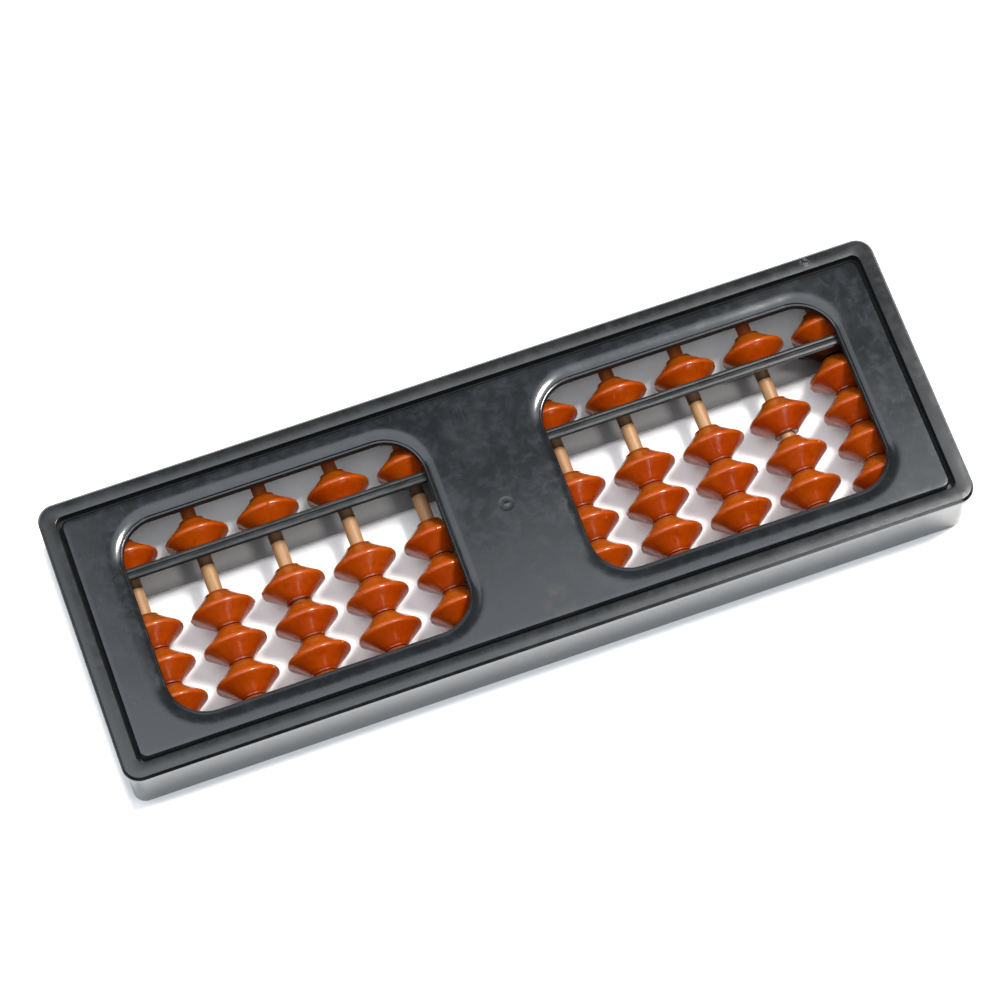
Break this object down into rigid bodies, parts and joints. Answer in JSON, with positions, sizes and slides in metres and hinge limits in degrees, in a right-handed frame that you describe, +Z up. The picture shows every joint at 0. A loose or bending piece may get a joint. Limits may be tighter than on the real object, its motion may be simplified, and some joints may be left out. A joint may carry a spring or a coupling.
{
  "type": "abacus",
  "caption": "Counting frame: black plastic case with two rounded windows, a grooved beam, wooden rods and sliding orange-brown biconical beads.",
  "frame": {"origin": "centre of the case's footprint, on the surface it rests on", "axes": "+X along the case from the first rod to the last, +Y along the rods from the earth beads to the heaven beads, +Z up"},
  "size_m": [0.167, 0.0572, 0.0158],
  "materials": {
    "case_plastic": "satin black, lightly scuffed",
    "panel_plastic": "satin black with fine scratches",
    "beam_plastic": "gloss black",
    "bead_plastic": "gloss orange-brown",
    "rod_wood": "plain smooth wood"
  },
  "bodies": {
    "frame": {"outer_frame": "case_plastic", "window_panel": "panel_plastic", "reckoning_beam": "beam_plastic", "rods": "rod_wood"},
    "heaven_bead_01": {"heaven_bead_01": "bead_plastic"},
    "earth_bead_01_1": {"earth_bead_01_1": "bead_plastic"},
    "earth_bead_01_2": {"earth_bead_01_2": "bead_plastic"},
    "earth_bead_01_3": {"earth_bead_01_3": "bead_plastic"},
    "earth_bead_01_4": {"earth_bead_01_4": "bead_plastic"},
    "heaven_bead_02": {"heaven_bead_02": "bead_plastic"},
    "earth_bead_02_1": {"earth_bead_02_1": "bead_plastic"},
    "earth_bead_02_2": {"earth_bead_02_2": "bead_plastic"},
    "earth_bead_02_3": {"earth_bead_02_3": "bead_plastic"},
    "earth_bead_02_4": {"earth_bead_02_4": "bead_plastic"},
    "heaven_bead_03": {"heaven_bead_03": "bead_plastic"},
    "earth_bead_03_1": {"earth_bead_03_1": "bead_plastic"},
    "earth_bead_03_2": {"earth_bead_03_2": "bead_plastic"},
    "earth_bead_03_3": {"earth_bead_03_3": "bead_plastic"},
    "earth_bead_03_4": {"earth_bead_03_4": "bead_plastic"},
    "heaven_bead_04": {"heaven_bead_04": "bead_plastic"},
    "earth_bead_04_1": {"earth_bead_04_1": "bead_plastic"},
    "earth_bead_04_2": {"earth_bead_04_2": "bead_plastic"},
    "earth_bead_04_3": {"earth_bead_04_3": "bead_plastic"},
    "earth_bead_04_4": {"earth_bead_04_4": "bead_plastic"},
    "heaven_bead_05": {"heaven_bead_05": "bead_plastic"},
    "earth_bead_05_1": {"earth_bead_05_1": "bead_plastic"},
    "earth_bead_05_2": {"earth_bead_05_2": "bead_plastic"},
    "earth_bead_05_3": {"earth_bead_05_3": "bead_plastic"},
    "earth_bead_05_4": {"earth_bead_05_4": "bead_plastic"},
    "heaven_bead_06": {"heaven_bead_06": "bead_plastic"},
    "earth_bead_06_1": {"earth_bead_06_1": "bead_plastic"},
    "earth_bead_06_2": {"earth_bead_06_2": "bead_plastic"},
    "earth_bead_06_3": {"earth_bead_06_3": "bead_plastic"},
    "earth_bead_06_4": {"earth_bead_06_4": "bead_plastic"},
    "heaven_bead_07": {"heaven_bead_07": "bead_plastic"},
    "earth_bead_07_1": {"earth_bead_07_1": "bead_plastic"},
    "earth_bead_07_2": {"earth_bead_07_2": "bead_plastic"},
    "earth_bead_07_3": {"earth_bead_07_3": "bead_plastic"},
    "earth_bead_07_4": {"earth_bead_07_4": "bead_plastic"},
    "heaven_bead_08": {"heaven_bead_08": "bead_plastic"},
    "earth_bead_08_1": {"earth_bead_08_1": "bead_plastic"},
    "earth_bead_08_2": {"earth_bead_08_2": "bead_plastic"},
    "earth_bead_08_3": {"earth_bead_08_3": "bead_plastic"},
    "earth_bead_08_4": {"earth_bead_08_4": "bead_plastic"},
    "heaven_bead_09": {"heaven_bead_09": "bead_plastic"},
    "earth_bead_09_1": {"earth_bead_09_1": "bead_plastic"},
    "earth_bead_09_2": {"earth_bead_09_2": "bead_plastic"},
    "earth_bead_09_3": {"earth_bead_09_3": "bead_plastic"},
    "earth_bead_09_4": {"earth_bead_09_4": "bead_plastic"},
    "heaven_bead_10": {"heaven_bead_10": "bead_plastic"},
    "earth_bead_10_1": {"earth_bead_10_1": "bead_plastic"},
    "earth_bead_10_2": {"earth_bead_10_2": "bead_plastic"},
    "earth_bead_10_3": {"earth_bead_10_3": "bead_plastic"},
    "earth_bead_10_4": {"earth_bead_10_4": "bead_plastic"}
  },
  "joints": [
    {"name": "heaven_01_slide", "type": "slide", "parent": "frame", "child": "heaven_bead_01", "axis": [0, 1, 0], "range_m": [0, 0.00505]},
    {"name": "earth_01_2_slide", "type": "slide", "parent": "frame", "child": "earth_bead_01_2", "axis": [0, 1, 0], "range_m": [0, 0.00554]},
    {"name": "earth_01_3_slide", "type": "slide", "parent": "frame", "child": "earth_bead_01_3", "axis": [0, 1, 0], "range_m": [0, 0.00554]},
    {"name": "earth_01_4_slide", "type": "slide", "parent": "frame", "child": "earth_bead_01_4", "axis": [0, 1, 0], "range_m": [0, 0.00554]},
    {"name": "earth_01_1_slide", "type": "slide", "parent": "earth_bead_01_2", "child": "earth_bead_01_1", "axis": [0, -1, 0], "range_m": [-0.00554, 0]},
    {"name": "heaven_02_slide", "type": "slide", "parent": "frame", "child": "heaven_bead_02", "axis": [0, 1, 0], "range_m": [0, 0.00505]},
    {"name": "earth_02_3_slide", "type": "slide", "parent": "frame", "child": "earth_bead_02_3", "axis": [0, 1, 0], "range_m": [0, 0.00554]},
    {"name": "earth_02_4_slide", "type": "slide", "parent": "frame", "child": "earth_bead_02_4", "axis": [0, 1, 0], "range_m": [0, 0.00554]},
    {"name": "earth_02_1_slide", "type": "slide", "parent": "earth_bead_02_3", "child": "earth_bead_02_1", "axis": [0, -1, 0], "range_m": [-0.00554, 0]},
    {"name": "earth_02_2_slide", "type": "slide", "parent": "earth_bead_02_3", "child": "earth_bead_02_2", "axis": [0, -1, 0], "range_m": [-0.00554, 0]},
    {"name": "heaven_03_slide", "type": "slide", "parent": "frame", "child": "heaven_bead_03", "axis": [0, 1, 0], "range_m": [0, 0.00505]},
    {"name": "earth_03_2_slide", "type": "slide", "parent": "frame", "child": "earth_bead_03_2", "axis": [0, 1, 0], "range_m": [0, 0.00519]},
    {"name": "earth_03_3_slide", "type": "slide", "parent": "frame", "child": "earth_bead_03_3", "axis": [0, 1, 0], "range_m": [0, 0.00519]},
    {"name": "earth_03_4_slide", "type": "slide", "parent": "frame", "child": "earth_bead_03_4", "axis": [0, 1, 0], "range_m": [0, 0.00519]},
    {"name": "earth_03_1_slide", "type": "slide", "parent": "earth_bead_03_2", "child": "earth_bead_03_1", "axis": [0, -1, 0], "range_m": [-0.00519, 0.00035]},
    {"name": "heaven_04_slide", "type": "slide", "parent": "frame", "child": "heaven_bead_04", "axis": [0, 1, 0], "range_m": [0, 0.00505]},
    {"name": "earth_04_4_slide", "type": "slide", "parent": "frame", "child": "earth_bead_04_4", "axis": [0, 1, 0], "range_m": [0, 0.00554]},
    {"name": "earth_04_1_slide", "type": "slide", "parent": "earth_bead_04_4", "child": "earth_bead_04_1", "axis": [0, -1, 0], "range_m": [-0.00554, 0]},
    {"name": "earth_04_2_slide", "type": "slide", "parent": "earth_bead_04_4", "child": "earth_bead_04_2", "axis": [0, -1, 0], "range_m": [-0.00554, 0]},
    {"name": "earth_04_3_slide", "type": "slide", "parent": "earth_bead_04_4", "child": "earth_bead_04_3", "axis": [0, -1, 0], "range_m": [-0.00554, 0]},
    {"name": "heaven_05_slide", "type": "slide", "parent": "frame", "child": "heaven_bead_05", "axis": [0, 1, 0], "range_m": [0, 0.00505]},
    {"name": "earth_05_3_slide", "type": "slide", "parent": "frame", "child": "earth_bead_05_3", "axis": [0, 1, 0], "range_m": [0, 0.00554]},
    {"name": "earth_05_4_slide", "type": "slide", "parent": "frame", "child": "earth_bead_05_4", "axis": [0, 1, 0], "range_m": [0, 0.00554]},
    {"name": "earth_05_1_slide", "type": "slide", "parent": "earth_bead_05_3", "child": "earth_bead_05_1", "axis": [0, -1, 0], "range_m": [-0.00554, 0]},
    {"name": "earth_05_2_slide", "type": "slide", "parent": "earth_bead_05_3", "child": "earth_bead_05_2", "axis": [0, -1, 0], "range_m": [-0.00554, 0]},
    {"name": "heaven_06_slide", "type": "slide", "parent": "frame", "child": "heaven_bead_06", "axis": [0, 1, 0], "range_m": [0, 0.00505]},
    {"name": "earth_06_4_slide", "type": "slide", "parent": "frame", "child": "earth_bead_06_4", "axis": [0, 1, 0], "range_m": [0, 0.00554]},
    {"name": "earth_06_1_slide", "type": "slide", "parent": "earth_bead_06_4", "child": "earth_bead_06_1", "axis": [0, -1, 0], "range_m": [-0.00554, 0]},
    {"name": "earth_06_2_slide", "type": "slide", "parent": "earth_bead_06_4", "child": "earth_bead_06_2", "axis": [0, -1, 0], "range_m": [-0.00554, 0]},
    {"name": "earth_06_3_slide", "type": "slide", "parent": "earth_bead_06_4", "child": "earth_bead_06_3", "axis": [0, -1, 0], "range_m": [-0.00554, 0]},
    {"name": "heaven_07_slide", "type": "slide", "parent": "frame", "child": "heaven_bead_07", "axis": [0, 1, 0], "range_m": [0, 0.00505]},
    {"name": "earth_07_2_slide", "type": "slide", "parent": "frame", "child": "earth_bead_07_2", "axis": [0, 1, 0], "range_m": [0, 0.00554]},
    {"name": "earth_07_3_slide", "type": "slide", "parent": "frame", "child": "earth_bead_07_3", "axis": [0, 1, 0], "range_m": [0, 0.00554]},
    {"name": "earth_07_4_slide", "type": "slide", "parent": "frame", "child": "earth_bead_07_4", "axis": [0, 1, 0], "range_m": [0, 0.00554]},
    {"name": "earth_07_1_slide", "type": "slide", "parent": "earth_bead_07_2", "child": "earth_bead_07_1", "axis": [0, -1, 0], "range_m": [-0.00554, 0]},
    {"name": "heaven_08_slide", "type": "slide", "parent": "frame", "child": "heaven_bead_08", "axis": [0, 1, 0], "range_m": [0, 0.00505]},
    {"name": "earth_08_3_slide", "type": "slide", "parent": "frame", "child": "earth_bead_08_3", "axis": [0, 1, 0], "range_m": [0, 0.00554]},
    {"name": "earth_08_4_slide", "type": "slide", "parent": "frame", "child": "earth_bead_08_4", "axis": [0, 1, 0], "range_m": [0, 0.00554]},
    {"name": "earth_08_1_slide", "type": "slide", "parent": "earth_bead_08_3", "child": "earth_bead_08_1", "axis": [0, -1, 0], "range_m": [-0.00554, 0]},
    {"name": "earth_08_2_slide", "type": "slide", "parent": "earth_bead_08_3", "child": "earth_bead_08_2", "axis": [0, -1, 0], "range_m": [-0.00554, 0]},
    {"name": "heaven_09_slide", "type": "slide", "parent": "frame", "child": "heaven_bead_09", "axis": [0, 1, 0], "range_m": [0, 0.00505]},
    {"name": "earth_09_2_slide", "type": "slide", "parent": "frame", "child": "earth_bead_09_2", "axis": [0, 1, 0], "range_m": [0, 0.00444]},
    {"name": "earth_09_3_slide", "type": "slide", "parent": "frame", "child": "earth_bead_09_3", "axis": [0, 1, 0], "range_m": [0, 0.00444]},
    {"name": "earth_09_4_slide", "type": "slide", "parent": "frame", "child": "earth_bead_09_4", "axis": [0, 1, 0], "range_m": [0, 0.00444]},
    {"name": "earth_09_1_slide", "type": "slide", "parent": "earth_bead_09_2", "child": "earth_bead_09_1", "axis": [0, -1, 0], "range_m": [-0.00444, 0.0011]},
    {"name": "heaven_10_slide", "type": "slide", "parent": "frame", "child": "heaven_bead_10", "axis": [0, 1, 0], "range_m": [0, 0.00505]},
    {"name": "earth_10_1_slide", "type": "slide", "parent": "frame", "child": "earth_bead_10_1", "axis": [0, 1, 0], "range_m": [-0.00554, 0]},
    {"name": "earth_10_2_slide", "type": "slide", "parent": "frame", "child": "earth_bead_10_2", "axis": [0, 1, 0], "range_m": [-0.00554, 0]},
    {"name": "earth_10_3_slide", "type": "slide", "parent": "frame", "child": "earth_bead_10_3", "axis": [0, 1, 0], "range_m": [-0.00554, 0]},
    {"name": "earth_10_4_slide", "type": "slide", "parent": "earth_bead_10_3", "child": "earth_bead_10_4", "axis": [0, -1, 0], "range_m": [0, 0.00554]}
  ],
  "couplings": [
    {"joint": "earth_01_3_slide", "follows": "earth_01_2_slide", "ratio": 1},
    {"joint": "earth_01_4_slide", "follows": "earth_01_2_slide", "ratio": 1},
    {"joint": "earth_02_4_slide", "follows": "earth_02_3_slide", "ratio": 1},
    {"joint": "earth_02_1_slide", "follows": "earth_02_2_slide", "ratio": 1},
    {"joint": "earth_03_3_slide", "follows": "earth_03_2_slide", "ratio": 1},
    {"joint": "earth_03_4_slide", "follows": "earth_03_2_slide", "ratio": 1},
    {"joint": "earth_04_1_slide", "follows": "earth_04_3_slide", "ratio": 1},
    {"joint": "earth_04_2_slide", "follows": "earth_04_3_slide", "ratio": 1},
    {"joint": "earth_05_4_slide", "follows": "earth_05_3_slide", "ratio": 1},
    {"joint": "earth_05_1_slide", "follows": "earth_05_2_slide", "ratio": 1},
    {"joint": "earth_06_1_slide", "follows": "earth_06_3_slide", "ratio": 1},
    {"joint": "earth_06_2_slide", "follows": "earth_06_3_slide", "ratio": 1},
    {"joint": "earth_07_3_slide", "follows": "earth_07_2_slide", "ratio": 1},
    {"joint": "earth_07_4_slide", "follows": "earth_07_2_slide", "ratio": 1},
    {"joint": "earth_08_4_slide", "follows": "earth_08_3_slide", "ratio": 1},
    {"joint": "earth_08_1_slide", "follows": "earth_08_2_slide", "ratio": 1},
    {"joint": "earth_09_3_slide", "follows": "earth_09_2_slide", "ratio": 1},
    {"joint": "earth_09_4_slide", "follows": "earth_09_2_slide", "ratio": 1},
    {"joint": "earth_10_1_slide", "follows": "earth_10_3_slide", "ratio": 1},
    {"joint": "earth_10_2_slide", "follows": "earth_10_3_slide", "ratio": 1}
  ]
}
